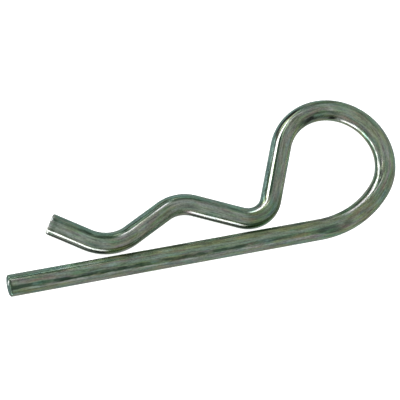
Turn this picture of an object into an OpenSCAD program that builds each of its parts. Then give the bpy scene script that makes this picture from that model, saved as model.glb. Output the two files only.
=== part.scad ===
// Hitch clip (R clip) bent from one length of round spring wire.
// It lies on its side on z = 0: the leg runs along X with the eye at its +X end,
// and the sprung arm lies along the leg's +Y side. The origin is below the middle of the outline.

/* [Wire] */
// Diameter of the wire
wire_d = 4; // [3:0.1:4.6]
// How much slimmer the wire is in its bends, which stretched as they were made
bend_thinning = 0.02; // [0.01:0.01:0.1]
// Radius rounded onto the edge of each sheared end
end_round = 0.35; // [0.1:0.05:0.8]

/* [Leg] */
// Straight leg, from its sheared end to the first bend
leg_length = 60; // [58:0.5:90]

/* [Eye] */
// Inside diameter of the eye
eye_inside_d = 17; // [15:0.5:20]
// Inside radius of the easy bend that leads the leg into the eye
lead_inside_r = 18; // [14:0.5:24]
// Angle of the easy bend
lead_angle = 42.5; // [34:0.5:52]
// Straight length between the easy bend and the eye
lead_straight = 0.5; // [0.2:0.1:3]
// Angle through which the wire then runs round the eye
eye_wrap = 201.5; // [193:0.5:209]

/* [Sprung arm] */
// Clearance between leg and arm at both valleys, where they come closest
arm_gap = 0.55; // [0.1:0.05:1.5]
// Inside radius of the bend at the first valley, below the eye
valley_inside_r = 3; // [2:0.5:4]
// Diameter of the shaft that the hump seats on, with the leg through the shaft's middle
shaft_d = 15.2; // [14:0.1:20]
// Slope of the arm from the first valley up to the hump
rise_angle = 25.5; // [20:0.5:32]
// Inside radius of the bend at the top of the hump
hump_inside_r = 5; // [3:0.5:7]
// Slope of the arm from the hump down to the second valley
fall_angle = 26; // [20:0.5:32]
// Inside radius of the bend at the second valley, by the flared end
mouth_inside_r = 6; // [2:0.5:8]
// Slope of the flared end away from the leg
flare_angle = 35; // [20:0.5:45]
// Straight length of the flared end, up to its sheared end
flare_length = 7.5; // [4:0.5:11]

/* [Hidden] */
$fn = 72;
wire_r = wire_d / 2;
bent_r = (wire_d - bend_thinning) / 2;

// Straights reach this far into the bends beside them, so that the wire is one solid
lap = 0.02;

// Radii of the bends along the middle of the wire
eye_r = eye_inside_d / 2 + wire_r;
lead_r = lead_inside_r + wire_r;
valley_r = valley_inside_r + wire_r;
hump_r = hump_inside_r + wire_r;
mouth_r = mouth_inside_r + wire_r;

// Middle of the eye, from the leg's sheared end along the middle of the leg
eye_x = leg_length + (lead_r - eye_r) * sin(lead_angle) + lead_straight * cos(lead_angle);
eye_y = lead_r - (lead_r - eye_r) * cos(lead_angle) + lead_straight * sin(lead_angle);

// Heights of the arm's middle above the middle of the leg
valley_y = wire_d + arm_gap;
hump_y = shaft_d / 2 + wire_r;

// The neck runs from the eye back down to the first valley, at this slope
neck_angle = lead_angle + eye_wrap - 180;
neck_top_y = eye_y + eye_r * cos(neck_angle);
neck_length = (neck_top_y - valley_y - valley_r * (1 - cos(neck_angle))) / sin(neck_angle);

// Straight stretches on the two sides of the hump
hump_height = hump_y - valley_y;
rise_length = (hump_height - (valley_r + hump_r) * (1 - cos(rise_angle))) / sin(rise_angle);
fall_length = (hump_height - (mouth_r + hump_r) * (1 - cos(fall_angle))) / sin(fall_angle);

// Outline of the clip as it lies, which the origin is centred on
outline_x = eye_x + eye_r + bent_r;
outline_y = wire_r + eye_y + eye_r + bent_r;

// Straight wire along X; what follows it starts at its far end
module straight(length) {
    translate([-lap, 0, 0])
        rotate([0, 90, 0])
            cylinder(d = wire_d, h = length + 2 * lap);
    translate([length, 0, 0])
        children();
}

// Straight wire along X up to its sheared face, with the face's edge rounded over
module sheared_straight(length) {
    translate([-lap, 0, 0])
        rotate([0, 90, 0])
            rotate_extrude() {
                square([wire_r, length + lap - end_round]);
                square([wire_r - end_round, length + lap]);
                translate([wire_r - end_round, length + lap - end_round])
                    intersection() {
                        circle(r = end_round);
                        square(end_round);
                    }
            }
}

// Bend to the left, with the wire's middle on the given radius; what follows starts at its end
module bend_left(radius, turn) {
    translate([0, radius, 0]) {
        rotate([0, 0, -90])
            rotate_extrude(angle = turn)
                translate([radius, 0])
                    circle(r = bent_r);
        rotate([0, 0, turn])
            translate([0, -radius, 0])
                children();
    }
}

// Bend to the right, the mirror image of a bend to the left
module bend_right(radius, turn) {
    mirror([0, 1, 0])
        bend_left(radius, turn)
            mirror([0, 1, 0])
                children();
}

// The whole wire, in the order in which it is bent, from the end of the straight leg
module bent_wire() {
    mirror([1, 0, 0])
        sheared_straight(leg_length);
    bend_left(lead_r, lead_angle)
        straight(lead_straight)
            bend_left(eye_r, eye_wrap)
                straight(neck_length)
                    bend_right(valley_r, neck_angle + rise_angle)
                        straight(rise_length)
                            bend_left(hump_r, rise_angle + fall_angle)
                                straight(fall_length)
                                    bend_right(mouth_r, fall_angle + flare_angle)
                                        sheared_straight(flare_length);
}

module clip_wire() {
    color("#7f8b78")
        translate([leg_length - outline_x / 2, wire_r - outline_y / 2, wire_r])
            bent_wire();
}

clip_wire();
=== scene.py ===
"""A hitch clip bent from drawn spring wire, dressed as zinc plated wire, on a pale studio floor."""

import math

import bmesh
import bpy
from mathutils import Matrix, Vector


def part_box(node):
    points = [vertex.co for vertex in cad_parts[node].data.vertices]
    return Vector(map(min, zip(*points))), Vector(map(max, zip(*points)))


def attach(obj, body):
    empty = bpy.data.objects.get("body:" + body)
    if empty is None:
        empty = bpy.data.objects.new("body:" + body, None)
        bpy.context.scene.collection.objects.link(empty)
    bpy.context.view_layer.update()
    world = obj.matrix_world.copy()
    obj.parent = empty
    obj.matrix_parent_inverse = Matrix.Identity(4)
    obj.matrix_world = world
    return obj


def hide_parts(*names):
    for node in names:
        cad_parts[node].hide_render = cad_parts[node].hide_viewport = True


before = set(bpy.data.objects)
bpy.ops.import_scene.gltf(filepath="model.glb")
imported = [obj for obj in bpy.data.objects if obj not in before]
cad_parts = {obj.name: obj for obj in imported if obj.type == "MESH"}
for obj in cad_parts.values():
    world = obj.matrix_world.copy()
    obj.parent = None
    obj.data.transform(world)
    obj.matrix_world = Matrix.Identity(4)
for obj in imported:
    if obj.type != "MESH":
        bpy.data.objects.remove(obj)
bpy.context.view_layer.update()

bl_info = {
    "name": "Hitch clip",
    "version": (1, 0, 0),
    "blender": (4, 5, 0),
    "location": "View3D > Sidebar > Hitch clip",
    "description": "Makes a bent wire hitch clip and its studio",
    "category": "Add Mesh",
}

MM = 0.001
NODE = "clip_wire"
WIRE_LOW, WIRE_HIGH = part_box(NODE)
WIRE_D = WIRE_HIGH.z - WIRE_LOW.z

# The wire is drawn as rings of this many points, this far apart along it, and the rim of a sheared end is
# rounded in this many steps
RING_POINTS = 64
RING_SPACING = 0.5 * MM
RIM_SEGMENTS = 5

# Each point keeps its place on the straight wire under this name, and the finish is painted on that
COORDINATES = "wire_coordinates"


# Sizes and colours that a user would change

class WireSizes(bpy.types.PropertyGroup):
    """Sizes of the bent wire, as the CAD part has them"""

    leg_length: bpy.props.FloatProperty(
        name="Leg", description="Straight leg, up to the first bend", default=60 * MM, unit="LENGTH")
    eye_radius: bpy.props.FloatProperty(
        name="Eye", description="Radius of the eye, on the wire's middle", default=10.5 * MM, unit="LENGTH")
    lead_radius: bpy.props.FloatProperty(
        name="Lead bend", description="Radius of the easy bend before the eye", default=20 * MM,
        unit="LENGTH")
    lead_angle: bpy.props.FloatProperty(
        name="Lead angle", description="Angle of the easy bend", default=math.radians(42.5), subtype="ANGLE")
    lead_straight: bpy.props.FloatProperty(
        name="Lead straight", description="Straight between easy bend and eye", default=0.5 * MM,
        unit="LENGTH")
    eye_wrap: bpy.props.FloatProperty(
        name="Eye wrap", description="Angle of the wire round the eye", default=math.radians(201.5),
        subtype="ANGLE")
    arm_gap: bpy.props.FloatProperty(
        name="Arm gap", description="Clearance between leg and arm", default=0.55 * MM, unit="LENGTH")
    valley_radius: bpy.props.FloatProperty(
        name="Valley", description="Radius of the first valley", default=5 * MM, unit="LENGTH")
    shaft_d: bpy.props.FloatProperty(
        name="Shaft", description="Diameter of the shaft under the hump", default=15.2 * MM, unit="LENGTH")
    rise_angle: bpy.props.FloatProperty(
        name="Rise", description="Slope up to the hump", default=math.radians(25.5), subtype="ANGLE")
    hump_radius: bpy.props.FloatProperty(
        name="Hump", description="Radius at the top of the hump", default=7 * MM, unit="LENGTH")
    fall_angle: bpy.props.FloatProperty(
        name="Fall", description="Slope down from the hump", default=math.radians(26), subtype="ANGLE")
    mouth_radius: bpy.props.FloatProperty(
        name="Mouth", description="Radius of the second valley", default=8 * MM, unit="LENGTH")
    flare_angle: bpy.props.FloatProperty(
        name="Flare", description="Slope of the flared end", default=math.radians(35), subtype="ANGLE")
    flare_length: bpy.props.FloatProperty(
        name="Flare length", description="Straight length of the flared end", default=7.5 * MM,
        unit="LENGTH")
    end_round: bpy.props.FloatProperty(
        name="End rounding", description="Radius on the edge of each end", default=0.35 * MM, unit="LENGTH")


class WireFinish(bpy.types.PropertyGroup):
    """Colours and gloss of the plated wire"""

    olive: bpy.props.FloatVectorProperty(
        name="Olive", description="Tint of most of the plating", subtype="COLOR", size=3,
        default=(0.45, 0.56, 0.39))
    taupe: bpy.props.FloatVectorProperty(
        name="Taupe", description="Tint of the thinnest plating", subtype="COLOR", size=3,
        default=(0.57, 0.57, 0.50))
    sage: bpy.props.FloatVectorProperty(
        name="Sage", description="Grey green tint between olive and teal", subtype="COLOR", size=3,
        default=(0.40, 0.62, 0.49))
    # Light grey laid in broad bands along the rise and along the flared end
    steel: bpy.props.FloatVectorProperty(
        name="Steel", description="Light grey where the forming tool pressed the arm", subtype="COLOR",
        size=3, default=(0.62, 0.71, 0.62))
    straw: bpy.props.FloatVectorProperty(
        name="Straw", description="Yellowish drifts in the olive", subtype="COLOR", size=3,
        default=(0.52, 0.58, 0.33))
    moss: bpy.props.FloatVectorProperty(
        name="Moss", description="Green between the teal and the grey", subtype="COLOR", size=3,
        default=(0.30, 0.50, 0.37))
    # Teal is the plating's own tint, and in the bands along the edges it is also a painted sheen of the
    # iridescent plating at a grazing angle
    teal: bpy.props.FloatVectorProperty(
        name="Teal", description="Tint of the thickest plating", subtype="COLOR", size=3,
        default=(0.42, 0.68, 0.60))
    # Painted shade in dark green, beside the painted highlights and over the panels' reflections, and darker
    # bands along the wire; it also tints the drag marks on the sheared faces
    shade: bpy.props.FloatVectorProperty(
        name="Shade", description="Dark green of the draw lines", subtype="COLOR", size=3,
        default=(0.12, 0.19, 0.13))
    # Painted shade, nearly black: the mirrored shadow beside the painted highlights, and dark marks over
    # reflections
    soot: bpy.props.FloatVectorProperty(
        name="Soot", description="Nearly black lines beside the brightest ones", subtype="COLOR", size=3,
        default=(0.05, 0.06, 0.05))
    # Painted highlight: pale streaks where the panels' reflections show white, and fainter lightening beside
    # them
    pale: bpy.props.FloatVectorProperty(
        name="Pale", description="Burnished streaks, where the plating is brightest", subtype="COLOR",
        size=3, default=(0.92, 0.95, 0.91))
    # Painted highlight in white, matt and not metallic, laid on highlight lines and lit by its own fill
    bloom: bpy.props.FloatVectorProperty(
        name="Bloom", description="White bloom of the zinc, which is dull and not metallic", subtype="COLOR",
        size=3, default=(0.93, 0.96, 0.93))
    cut_face: bpy.props.FloatVectorProperty(
        name="Cut face", description="Tint of the two sheared faces", subtype="COLOR", size=3,
        default=(0.16, 0.30, 0.27))
    roughness: bpy.props.FloatProperty(
        name="Roughness", description="Roughness of the plating", default=0.15, min=0, max=1)


class StudioSettings(bpy.types.PropertyGroup):
    """Floor, lights and camera"""

    floor_colour: bpy.props.FloatVectorProperty(
        name="Floor", description="Colour of the floor", subtype="COLOR", size=3, default=(0.6, 0.6, 0.6))
    floor_glow: bpy.props.FloatProperty(
        name="Floor glow", description="How far the floor is lit from below, against shadows", default=1.45,
        min=0)
    room: bpy.props.FloatProperty(
        name="Room light", description="Brightness of the dim room", default=0.3, min=0)
    view_azimuth: bpy.props.FloatProperty(
        name="View azimuth", description="Direction of the camera, from +X towards +Y",
        default=math.radians(-132.32), subtype="ANGLE")
    view_elevation: bpy.props.FloatProperty(
        name="View elevation", description="Height of the camera above the floor",
        default=math.radians(64.6), subtype="ANGLE")
    view_distance: bpy.props.FloatProperty(
        name="View distance", description="From the clip to the camera", default=300 * MM, unit="LENGTH")
    picture_up: bpy.props.FloatProperty(
        name="Picture up", description="Direction on the floor that is up in the picture",
        default=math.radians(74.94), subtype="ANGLE")
    lens: bpy.props.FloatProperty(
        name="Lens", description="Focal length in millimetres", default=144.7, min=1)


# The wire

def bench_plan(sizes):
    """Straights (length, 0) and bends (radius, turn) from the leg's end on. Left turns are positive."""
    valley_y = WIRE_D + sizes.arm_gap
    hump_height = (sizes.shaft_d + WIRE_D) / 2 - valley_y
    eye_y = (sizes.lead_radius - (sizes.lead_radius - sizes.eye_radius) * math.cos(sizes.lead_angle)
             + sizes.lead_straight * math.sin(sizes.lead_angle))
    neck_angle = sizes.lead_angle + sizes.eye_wrap - math.pi
    neck_drop = (eye_y + sizes.eye_radius * math.cos(neck_angle) - valley_y
                 - sizes.valley_radius * (1 - math.cos(neck_angle)))
    rise = hump_height - (sizes.valley_radius + sizes.hump_radius) * (1 - math.cos(sizes.rise_angle))
    fall = hump_height - (sizes.mouth_radius + sizes.hump_radius) * (1 - math.cos(sizes.fall_angle))
    return [
        (sizes.leg_length, 0),
        (sizes.lead_radius, sizes.lead_angle),
        (sizes.lead_straight, 0),
        (sizes.eye_radius, sizes.eye_wrap),
        (neck_drop / math.sin(neck_angle), 0),
        (sizes.valley_radius, -neck_angle - sizes.rise_angle),
        (rise / math.sin(sizes.rise_angle), 0),
        (sizes.hump_radius, sizes.rise_angle + sizes.fall_angle),
        (fall / math.sin(sizes.fall_angle), 0),
        (sizes.mouth_radius, -sizes.fall_angle - sizes.flare_angle),
        (sizes.flare_length, 0),
    ]


def wire_length(size, turn):
    """Length of wire in one straight or bend of the plan."""
    return size * abs(turn) if turn else size


def round_end(wire, cap, radius):
    """Rounds the rim of a sheared end."""
    made = bmesh.ops.bevel(
        wire, geom=list(cap.edges), offset=radius, offset_type="OFFSET", segments=RIM_SEGMENTS,
        profile=0.5, affect="EDGES", material=-1)
    for face in made["faces"]:
        face.smooth = True
        face.material_index = 0


def draw_wire(wire, length, sizes):
    """Draws the straight wire along X, ring by ring, and rounds its two ends."""
    upright = Matrix.Rotation(math.pi / 2, 4, "Y")
    bmesh.ops.create_circle(
        wire, cap_ends=True, segments=RING_POINTS, radius=WIRE_D / 2, matrix=upright)
    first = wire.faces[:][0]
    edges = list(first.edges)
    steps = math.ceil(length / RING_SPACING)
    for _ in range(steps):
        grown = bmesh.ops.extrude_edge_only(wire, edges=edges)["geom"]
        ring = [item for item in grown if isinstance(item, bmesh.types.BMVert)]
        edges = [item for item in grown
                 if isinstance(item, bmesh.types.BMEdge) and all(vert in ring for vert in item.verts)]
        bmesh.ops.translate(wire, verts=ring, vec=(length / steps, 0, 0))
    last = bmesh.ops.edgeloop_fill(wire, edges=edges)["faces"][0]
    bmesh.ops.recalc_face_normals(wire, faces=wire.faces[:])
    for face in wire.faces:
        face.smooth = face not in (first, last)
    for cap in (first, last):
        cap.material_index = 1
        round_end(wire, cap, sizes.end_round)


def bend_wire(wire, straight, start, radius, turn):
    """Swings all wire past the start of a bend round the bend's centre, as on a bending bench."""
    centre = Vector((start, math.copysign(radius, turn), 0))
    for vert in wire.verts:
        past = vert[straight].x - start
        if past > 0:
            swing = min(past / radius, abs(turn))
            slide = Matrix.Translation((-radius * swing, 0, 0))
            spin = Matrix.Rotation(math.copysign(swing, turn), 4, "Z")
            vert.co = centre + spin @ (slide @ vert.co - centre)


class MakeWire(bpy.types.Operator):
    """Draw, shear and bend the clip's wire, and plate it"""

    bl_idname = "hitch_clip.make_wire"
    bl_label = "Bent wire"

    def execute(self, context):
        sizes = context.scene.clip_sizes
        plan = bench_plan(sizes)
        if any(size <= 0 for size, turn in plan):
            raise ValueError("With these sizes a straight or a bend of the wire has no length")
        wire = bmesh.new()
        draw_wire(wire, sum(wire_length(*stretch) for stretch in plan), sizes)
        straight = wire.verts.layers.float_vector.new(COORDINATES)
        for vert in wire.verts:
            vert[straight] = vert.co

        # The bend farthest from the leg's end is made first, so each one starts on straight wire
        starts = []
        station = 0
        for size, turn in plan:
            starts.append(station)
            station += wire_length(size, turn)
        for start, (size, turn) in reversed(list(zip(starts, plan))):
            if turn:
                bend_wire(wire, straight, start, size, turn)

        leg_end = Vector((WIRE_LOW.x, WIRE_LOW.y + WIRE_D / 2, WIRE_D / 2))
        bmesh.ops.translate(wire, verts=wire.verts[:], vec=leg_end)
        mesh = bpy.data.meshes.new("bent_wire")
        wire.to_mesh(mesh)
        wire.free()
        piece = bpy.data.objects.new("bent_wire", mesh)
        context.scene.collection.objects.link(piece)
        mesh.materials.append(plated_wire(context.scene.clip_finish))
        mesh.materials.append(sheared_face(context.scene.clip_finish))
        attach(piece, "root")
        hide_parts(NODE)
        return {"FINISHED"}


# Materials

class Flow:
    """A socket of a material's nodes, which takes part in plain sums and products."""

    def __init__(self, finish, socket):
        self.finish = finish
        self.socket = socket

    def __add__(self, other):
        return self.finish.maths("ADD", self, other)

    def __sub__(self, other):
        return self.finish.maths("SUBTRACT", self, other)

    def __rsub__(self, other):
        return self.finish.maths("SUBTRACT", other, self)

    def __mul__(self, other):
        return self.finish.maths("MULTIPLY", self, other)

    __radd__ = __add__
    __rmul__ = __mul__

    def other(self, name):
        """Another output of the same node."""
        return Flow(self.finish, self.socket.node.outputs[name])


class Finish:
    """A material, and the nodes that are added to it."""

    def __init__(self, name):
        self.material = bpy.data.materials.new(name)
        self.material.use_nodes = True
        self.tree = self.material.node_tree
        self.shader = self.tree.nodes["Principled BSDF"]

    def add(self, kind, settings=None, values=None, output=0):
        """Adds a node, makes its settings, fills or links its sockets, and gives one output."""
        node = self.tree.nodes.new(kind)
        for name, value in (settings or {}).items():
            setattr(node, name, value)
        for name, value in (values or {}).items():
            self.fill(node.inputs[name], value)
        return Flow(self, node.outputs[output])

    def fill(self, socket, value):
        """Links a flow to a socket, or sets its value."""
        if isinstance(value, Flow):
            self.tree.links.new(value.socket, socket)
        else:
            socket.default_value = value

    def maths(self, operation, *values):
        return self.add("ShaderNodeMath", {"operation": operation}, dict(enumerate(values)))

    def vector_maths(self, operation, *values):
        return self.add("ShaderNodeVectorMath", {"operation": operation}, dict(enumerate(values)))

    def mix(self, factor, first, second):
        """First colour where the factor is 0, second where it is 1."""
        return self.add(
            "ShaderNodeMix", {"data_type": "RGBA", "clamp_factor": True},
            {0: factor, 6: first, 7: second}, output=2)

    def noise(self, place, stretch, scale, detail=2.0, shift=0.0):
        """Noise, drawn out where its stretch is small. Each shift gives another pattern."""
        drawn = self.vector_maths("MULTIPLY_ADD", place, stretch, (shift, shift, shift))
        return self.add("ShaderNodeTexNoise", {}, {"Vector": drawn, "Scale": scale, "Detail": detail})

    def between(self, value, low, high):
        """0 at low and before it, 1 at high and past it, and a soft slope between. Low may be the larger."""
        return self.add(
            "ShaderNodeMapRange", {"interpolation_type": "SMOOTHSTEP"},
            {"Value": value, "From Min": low, "From Max": high})

    def relief(self, height, strength, distance):
        """Bumps on the surface, as deep as the distance where the height is 1."""
        bump = self.add("ShaderNodeBump", {}, {"Strength": strength, "Distance": distance, "Height": height})
        self.fill(self.shader.inputs["Normal"], bump)


def rgba(colour):
    return (*colour, 1)


# Streaks of the plating, later ones over earlier ones: tint, strength, half width in degrees,
# and the points that a streak runs through, each as mm along the wire and degrees round it. 0 degrees is
# the left side on the way from the leg's end, and 90 the top. A streak of strength 1 is clean, and others
# are worn and stray with the draw lines. Streaks that reach a sheared end run on past it.
# The pale and white streaks are painted highlights, the white ones matt; the dark green and black ones are
# painted shade, mostly beside the highlights and over the panels' reflections; the teal ones are partly a
# painted sheen, and the rest are tints of the plating
LEG_TIP = -9
FLARE_TIP = 180

LEG_STREAKS = (
    ("teal", 0.85, 28, (LEG_TIP, 24), (11, 24)),
    ("pale", 1, 13, (LEG_TIP, 6), (22, 6)),
    ("pale", 1, 19, (22, 6), (46, 6)),
    ("shade", 0.6, 8, (5, 43), (62, 40)),
    ("shade", 0.6, 12, (18, 55), (62, 57)),
    ("straw", 0.8, 20, (24, 80), (62, 80)),
    ("shade", 0.95, 11, (LEG_TIP, 68), (9, 68)),
    ("shade", 0.7, 6, (9, 70), (27, 68)),
    ("pale", 0.3, 5, (9, 61), (17, 61)),
    ("taupe", 0.6, 5, (5, 84), (34, 84)),
    ("sage", 0.6, 10, (8, 97), (62, 97)),
    ("pale", 0.2, 9, (8, 95), (60, 95)),
    ("taupe", 0.3, 22, (6, 164), (60, 164)),
    ("shade", 0.85, 9, (LEG_TIP, 122), (25, 121)),
    ("shade", 0.75, 8, (25, 121), (45, 119)),
    ("shade", 0.5, 8, (45, 115), (61, 113)),
    ("shade", 0.6, 18, (59, 117), (66, 117)),
    ("pale", 0.6, 5, (3, 138), (60, 138)),
    ("teal", 0.7, 24, (LEG_TIP, 38), (12, 38)),
)

EYE_STREAKS = (
    ("pale", 0.3, 7, (60, 66), (66, 66)),
    ("shade", 0.9, 9, (60, 30), (67, 30)),
    ("pale", 0.8, 10, (67, 15), (76, 15)),
    ("shade", 0.9, 6, (65, 50), (72, 46)),
    ("shade", 0.95, 6, (72, 46), (77.5, 27), (81.5, 15)),
    ("shade", 0.95, 7, (81.5, 20), (88, 9)),
    ("shade", 0.7, 5, (72, 75), (77.5, 57)),
    ("soot", 0.95, 8, (75.5, 60), (82, 50)),
    ("pale", 1, 7, (65.5, 66), (72, 61), (77.5, 42), (81.5, 30)),
    ("pale", 1, 6, (81.5, 33), (88, 24)),
    ("bloom", 1, 5, (78, 40), (81, 32)),
    ("pale", 1, 9, (91, 14), (97, 14)),
    ("pale", 0.45, 24, (81, 74), (99, 74)),
    ("straw", 0.4, 28, (84, 80), (98, 80)),
    ("moss", 0.7, 8, (88, 102), (104, 102)),
    ("shade", 0.6, 18, (97, 42), (108, 42)),
    ("soot", 0.85, 10, (97, 18), (100, 18)),
    ("soot", 0.8, 14, (102, 38), (105.5, 38)),
    ("soot", 0.4, 8, (99.5, 16), (108, 16)),
    ("shade", 0.5, 12, (98, 118), (105, 118)),
)

NECK_STREAKS = (
    ("taupe", 0.8, 26, (107, 76), (125, 76)),
    ("teal", 0.7, 20, (80, 150), (106, 150)),
    ("teal", 0.95, 28, (100, 165), (FLARE_TIP, 165)),
    ("teal", 1, 20, (105, 160), (127, 160)),
    ("pale", 0.3, 12, (98, 96), (106, 96)),
    ("shade", 1, 6, (110, 113), (124, 111)),
    ("soot", 1, 9, (104.5, 126), (112, 142)),
    ("shade", 0.75, 7, (112, 142), (131, 138)),
    ("pale", 1, 4, (104.5, 98), (107.5, 109)),
    ("pale", 1, 5, (107.5, 109), (113, 126), (117, 126), (125, 121), (130.5, 108)),
    ("bloom", 1, 4, (127, 115), (130.5, 106)),
)

ARM_STREAKS = (
    ("shade", 0.35, 12, (122, 26), (131, 26)),
    ("shade", 0.3, 36, (123, 60), (131, 60)),
    ("steel", 0.7, 30, (131, 66), (146, 66)),
    ("soot", 1, 11, (130, 8), (142, 8)),
    ("bloom", 1, 5, (131.5, 25), (142, 25)),
    ("moss", 0.8, 14, (129, 112), (158, 112)),
    ("teal", 0.6, 12, (129, 132), (FLARE_TIP, 132)),
    ("shade", 0.5, 7, (130, 100), (146, 100)),
    ("shade", 0.3, 16, (140, 54), (145, 54)),
    ("taupe", 0.5, 14, (145, 48), (157, 48)),
    ("shade", 0.7, 12, (143, 23), (157, 23)),
    ("pale", 0.25, 12, (141, 86), (165, 86)),
    ("pale", 0.9, 6, (146, 103), (158, 101)),
    ("shade", 1, 9, (145.5, 117), (157, 117)),
    ("soot", 0.45, 8, (145.5, 117), (157, 117)),
    ("steel", 0.8, 28, (160, 66), (FLARE_TIP, 66)),
    ("soot", 1, 13, (160, 11), (FLARE_TIP, 11)),
    ("bloom", 1, 5, (160.5, 29), (FLARE_TIP, 29)),
    ("moss", 0.7, 16, (158, 110), (FLARE_TIP, 110)),
    ("shade", 0.9, 9, (159, 103), (FLARE_TIP, 103)),
)

# Round the rims of the two sheared ends: painted shade on the leg end's rim, and at the flare end a painted
# dark line and a painted highlight
RIM_STREAKS = (
    ("shade", 0.85, 90, (-0.6, 120), (0.35, 120)),
    ("shade", 0.35, 50, (169.8, 60), (170.5, 60)),
    ("pale", 0.9, 80, (170.8, 60), (171.6, 60)),
)

STREAKS = LEG_STREAKS + EYE_STREAKS + NECK_STREAKS + ARM_STREAKS + RIM_STREAKS

# How far a worn streak strays from its angle, in degrees
STRAY = 14

# A streak fades from full to none between these shares of its half width
STREAK_FULL = 0.6
STREAK_NONE = 1.4

# Tints that drift over the plating: tint, noise where it begins and where it is full, strength, and the
# shift of its noise
DRIFTS = (
    ("taupe", 0.46, 0.58, 0.9, 10),
    ("sage", 0.5, 0.6, 0.8, 20),
    ("straw", 0.52, 0.62, 0.6, 40),
)

# How much of the metal the painted matt highlight hides
MATT_HIGHLIGHT_COVER = 0.95

# The burr on a sheared face is painted as a white highlight on a quarter of an oval. The blade crossed the
# face along its way, with its side square to that, and the oval's middle is this far along the way from the
# face's middle. The reaches are half the oval's sizes. All are in mm.
BLADE_WAY = (0, -0.33, 0.94)
BLADE_SIDE = (0, 0.94, 0.33)
BURR_MIDDLE = 1.5
BURR_WAY_REACH = 1.58
BURR_SIDE_REACH = 0.845


def wire_place(finish):
    """Place on the straight wire, in mm: X along it, and Y and Z across it."""
    metres = finish.add("ShaderNodeAttribute", {"attribute_name": COORDINATES}, output="Vector")
    return finish.vector_maths("MULTIPLY", metres, (1 / MM, 1 / MM, 1 / MM))


def plated_wire(colours):
    """Drawn spring wire under a thin greenish zinc plating, with draw lines, drifting tints, and streaks of
    painted highlight and painted shade.
    """
    finish = Finish("plated_wire")
    place = wire_place(finish)
    along = finish.add("ShaderNodeSeparateXYZ", {}, {"Vector": place})
    angle = finish.maths("ARCTAN2", 0 - along.other("Y"), along.other("Z")) * math.degrees(1) + 90

    # Draw lines, the finer threads between them, and the speckle of the plating
    lines = finish.noise(place, (0.12, 1, 1), 2.4)
    threads = finish.noise(place, (0.05, 1, 1), 5, detail=1, shift=30)
    speckle = finish.noise(place, (0.5, 1, 1), 4.5, detail=1, shift=60)

    tint = rgba(colours.olive)
    for name, low, high, strength, shift in DRIFTS:
        drift = finish.noise(place, (0.14, 0.8, 0.8), 0.9, shift=shift)
        tint = finish.mix(finish.between(drift, low, high) * strength, tint, rgba(getattr(colours, name)))

    # Small shifts of hue, strong under the streaks and faint over them
    hues = finish.noise(place, (0.22, 1, 1), 1.5, shift=90).other("Color")
    strong_hues = finish.vector_maths("MULTIPLY_ADD", hues, (0.6, 0.5, 0.6), (0.7, 0.75, 0.7))
    faint_hues = finish.vector_maths("MULTIPLY_ADD", hues, (0.3, 0.25, 0.3), (0.85, 0.875, 0.85))
    tint = finish.vector_maths("MULTIPLY", tint, strong_hues)

    # Wear breaks up the streaks along their length
    wear = finish.between(finish.noise(place, (0.3, 1, 1), 1.2, shift=80), 0.35, 0.6) * 0.8 + 0.45
    stray_angle = angle + (lines - 0.5) * STRAY
    dull = 0
    # The streaks paint highlights, shade and tints over the plating, and the metal is made dull under the
    # white matt highlights
    for name, strength, spread, *route in STREAKS:
        clean = strength == 1
        for start, end in zip(route, route[1:]):
            inside = streak(finish, along, angle if clean else stray_angle, start, end, spread)
            shown = inside if clean else inside * (wear * strength)
            tint = finish.mix(shown, tint, rgba(getattr(colours, name)))
            if name == "bloom":
                dull = inside + dull

    grain = (lines - 0.5) * 1.3 + (threads - 0.5) * 0.9 + (speckle - 0.5) * 0.9 + 1
    tint = finish.vector_maths("MULTIPLY", tint, faint_hues)
    finish.fill(finish.shader.inputs["Base Color"], finish.vector_maths("MULTIPLY", tint, grain))
    finish.fill(finish.shader.inputs["Metallic"], 1 - dull * MATT_HIGHLIGHT_COVER)
    roughness = colours.roughness + 0.1 * (speckle - 0.5) + 0.1 * (lines - 0.5)
    finish.fill(finish.shader.inputs["Roughness"], roughness)
    finish.relief(lines + threads * 0.5 + speckle * 0.4, 0.12, 0.05 * MM)
    return finish.material


def streak(finish, along, angle, start, end, spread):
    """1 inside a streak from one of its points to the next, fading at its edges and ends."""
    first_mm, first_angle = start
    last_mm, last_angle = end
    slope = (last_angle - first_angle) / (last_mm - first_mm)
    middle = (along - first_mm) * slope + first_angle if slope else first_angle
    off = finish.maths("ABSOLUTE", angle - middle)
    inside = finish.between(off, spread * STREAK_NONE, spread * STREAK_FULL)

    # An end fades over 1 mm to each side, and less on a short streak
    fade = min(1, (last_mm - first_mm) / 4)
    begun = finish.between(along, first_mm - fade, first_mm + fade)
    return inside * begun * finish.between(along, last_mm + fade, last_mm - fade)


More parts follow.
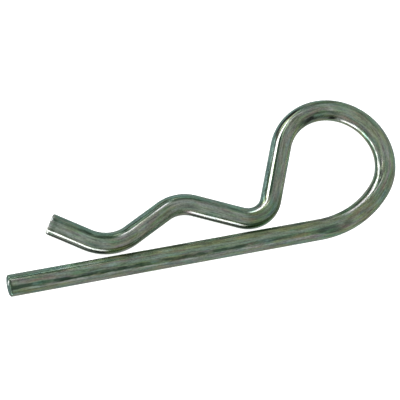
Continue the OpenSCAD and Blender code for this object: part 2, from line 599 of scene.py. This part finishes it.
def sheared_face(colours):
    """Dark matt face where the wire was sheared off, with drag marks, and a painted highlight on the burred
    edge that the blade left.
    """
    finish = Finish("sheared_face")
    place = wire_place(finish)
    drag = finish.noise(place, (1, 1, 0.25), 3)
    pits = finish.noise(place, (1, 1, 1), 4, shift=25)
    tint = finish.mix(finish.between(drag, 0.45, 0.65) * 0.6, rgba(colours.cut_face), rgba(colours.shade))
    tint = finish.mix(finish.between(pits, 0.6, 0.7) * 0.5, tint, rgba(colours.sage))

    # The painted highlight on the burr follows the oval's outline, in the quarter that is short of its
    # middle along the blade's way
    side = finish.vector_maths("DOT_PRODUCT", place, BLADE_SIDE).other("Value")
    way = finish.vector_maths("DOT_PRODUCT", place, BLADE_WAY).other("Value") - BURR_MIDDLE
    side_share = side * (1 / BURR_SIDE_REACH)
    way_share = way * (1 / BURR_WAY_REACH)
    oval = finish.maths("SQRT", side_share * side_share + way_share * way_share)
    burr_glint = finish.between(finish.maths("ABSOLUTE", oval - 1), 0.3, 0.1)
    burr_glint = burr_glint * finish.between(side, 0, 0.3) * finish.between(way, 0.4, 0)
    tint = finish.mix(burr_glint, tint, rgba(colours.bloom))
    finish.fill(finish.shader.inputs["Base Color"], tint)
    finish.fill(finish.shader.inputs["Metallic"], 1 - burr_glint)
    finish.fill(finish.shader.inputs["Roughness"], 0.35 + 0.2 * pits)
    finish.relief(drag + pits * 0.5, 0.4, 0.08 * MM)
    return finish.material


def floor_paint(settings):
    """Matt pale paper on a light table, with a faint grain."""
    finish = Finish("studio_floor")
    place = finish.add("ShaderNodeTexCoord", output="Object")
    grain = finish.noise(place, (1, 1, 1), 900)
    colour = finish.mix(grain * 0.04, rgba(settings.floor_colour), rgba(FLECK_COLOUR))
    finish.fill(finish.shader.inputs["Base Color"], colour)
    finish.fill(finish.shader.inputs["Emission Color"], colour)
    finish.shader.inputs["Emission Strength"].default_value = settings.floor_glow
    finish.shader.inputs["Roughness"].default_value = 0.9
    finish.shader.inputs["Specular IOR Level"].default_value = 0.1
    return finish.material


# The stage

# The dim room, the flecks in the floor, how far the floor reaches, and the point that the camera looks at
ROOM_COLOUR = (0.95, 1.0, 0.97)
FLECK_COLOUR = (0.7, 0.7, 0.7)
FLOOR_REACH = 3
VIEW_TARGET = Vector((-0.9, -2.04, 2)) * MM

# Panels that the wire mirrors, and fills that light only what is dull: name, azimuth and elevation in
# degrees, distance, width, height, brightness, and how far it leans, in degrees
PANELS = (
    ("window", 111.5, 33.5, 0.8, 0.48, 0.14, 2.0, 0),
    ("window_side", 124, 28, 0.8, 0.09, 0.22, 2.0, 0),
    ("window_end", 84, 49, 0.8, 0.07, 0.18, 1.2, -30),
    ("side_window", 101, 17, 0.8, 0.26, 0.08, 1.8, -48),
    ("lead_window", 85.5, 26.5, 0.8, 0.22, 0.06, 1.6, 0),
    ("low_window", 113, 2, 0.5, 0.28, 0.1, 1.6, -50),
)
FILLS = (
    ("floor_fill", 90, 85, 0.8, 1.2, 1.2, 3.0, 0),
    # The second fill lights the painted white matt highlights, which are dull
    ("bloom_fill", 242, 30, 0.8, 0.5, 0.5, 4.0, 0),
)

# An arc of like panels, lower than the floor, which lets their mirrored light pass: where each one is, in
# degrees, and the rest of its row
LOW_ARC = ((143, -16), (165, -24), (190, -30), (216, -34), (242, -36))
LOW_PANEL = (0.5, 0.25, 0.16, 1.5, 0)


def towards(azimuth, elevation):
    """Unit vector in a direction given in radians, from +X towards +Y, and up from the floor."""
    flat = math.cos(elevation)
    return Vector((flat * math.cos(azimuth), flat * math.sin(azimuth), math.sin(elevation)))


def aimed(place, target, up):
    """Matrix of something at a place that looks at a target along its own -Z, with +Y near up."""
    back = (place - target).normalized()
    right = up.cross(back).normalized()
    matrix = Matrix((right, back.cross(right), back)).transposed().to_4x4()
    matrix.translation = place
    return matrix


def soft_light(scene, row, gloss):
    """A rectangle of even light that faces the clip, and shows only in the gloss or only on dull places."""
    name, azimuth, elevation, distance, width, height, brightness, lean = row
    light = bpy.data.lights.new(name, "AREA")
    light.shape = "RECTANGLE"
    light.size = width
    light.size_y = height
    light.energy = brightness * math.pi * width * height
    lamp = bpy.data.objects.new(name, light)
    lamp.visible_camera = False
    lamp.visible_glossy = gloss
    lamp.visible_diffuse = not gloss
    place = towards(math.radians(azimuth), math.radians(elevation)) * distance
    leaning = Matrix.Rotation(math.radians(lean), 4, "Z")
    lamp.matrix_world = aimed(place, Vector(), Vector((0, 0, 1))) @ leaning
    scene.collection.objects.link(lamp)


class SetStage(bpy.types.Operator):
    """Lay the floor, hang the lights and stand the camera where the picture was taken"""

    bl_idname = "hitch_clip.set_stage"
    bl_label = "Studio"

    def execute(self, context):
        scene = context.scene
        settings = scene.clip_studio
        sheet = bmesh.new()
        bmesh.ops.create_grid(sheet, x_segments=1, y_segments=1, size=FLOOR_REACH)
        mesh = bpy.data.meshes.new("studio_floor")
        sheet.to_mesh(mesh)
        sheet.free()
        floor = bpy.data.objects.new("studio_floor", mesh)
        scene.collection.objects.link(floor)
        mesh.materials.append(floor_paint(settings))

        # The wire mirrors the room and the panels round it, and not the floor under it
        floor.visible_glossy = False
        floor.visible_shadow = False

        world = bpy.data.worlds.new("studio_room")
        world.use_nodes = True
        room = world.node_tree.nodes["Background"]
        room.inputs["Color"].default_value = rgba(ROOM_COLOUR)
        room.inputs["Strength"].default_value = settings.room
        scene.world = world

        for row in PANELS:
            soft_light(scene, row, gloss=True)
        for azimuth, elevation in LOW_ARC:
            soft_light(scene, (f"low_panel_{azimuth}", azimuth, elevation, *LOW_PANEL), gloss=True)
        for row in FILLS:
            soft_light(scene, row, gloss=False)

        camera = bpy.data.cameras.new("picture_camera")
        camera.lens = settings.lens
        camera.clip_start = 1 * MM
        viewer = bpy.data.objects.new("picture_camera", camera)
        to_camera = towards(settings.view_azimuth, settings.view_elevation)
        place = VIEW_TARGET + to_camera * settings.view_distance
        viewer.matrix_world = aimed(place, VIEW_TARGET, towards(settings.picture_up, 0))
        scene.collection.objects.link(viewer)
        scene.camera = viewer
        scene.view_settings.view_transform = "Standard"
        return {"FINISHED"}


class HitchClipPanel(bpy.types.Panel):
    """Makes the clip and its studio, in the sidebar of the 3D view"""

    bl_idname = "VIEW3D_PT_hitch_clip"
    bl_label = "Hitch clip"
    bl_space_type = "VIEW_3D"
    bl_region_type = "UI"
    bl_category = "Hitch clip"

    def draw(self, context):
        for group, operator in (
            (context.scene.clip_sizes, MakeWire),
            (context.scene.clip_finish, None),
            (context.scene.clip_studio, SetStage),
        ):
            for name in group.__annotations__:
                self.layout.prop(group, name)
            if operator:
                self.layout.operator(operator.bl_idname)


CLASSES = (WireSizes, WireFinish, StudioSettings, MakeWire, SetStage, HitchClipPanel)


def register():
    for made in CLASSES:
        bpy.utils.register_class(made)
    bpy.types.Scene.clip_sizes = bpy.props.PointerProperty(type=WireSizes)
    bpy.types.Scene.clip_finish = bpy.props.PointerProperty(type=WireFinish)
    bpy.types.Scene.clip_studio = bpy.props.PointerProperty(type=StudioSettings)


def unregister():
    del bpy.types.Scene.clip_studio
    del bpy.types.Scene.clip_finish
    del bpy.types.Scene.clip_sizes
    for made in reversed(CLASSES):
        bpy.utils.unregister_class(made)


def main():
    register()
    bpy.ops.hitch_clip.make_wire()
    bpy.ops.hitch_clip.set_stage()


if __name__ == "__main__":
    main()
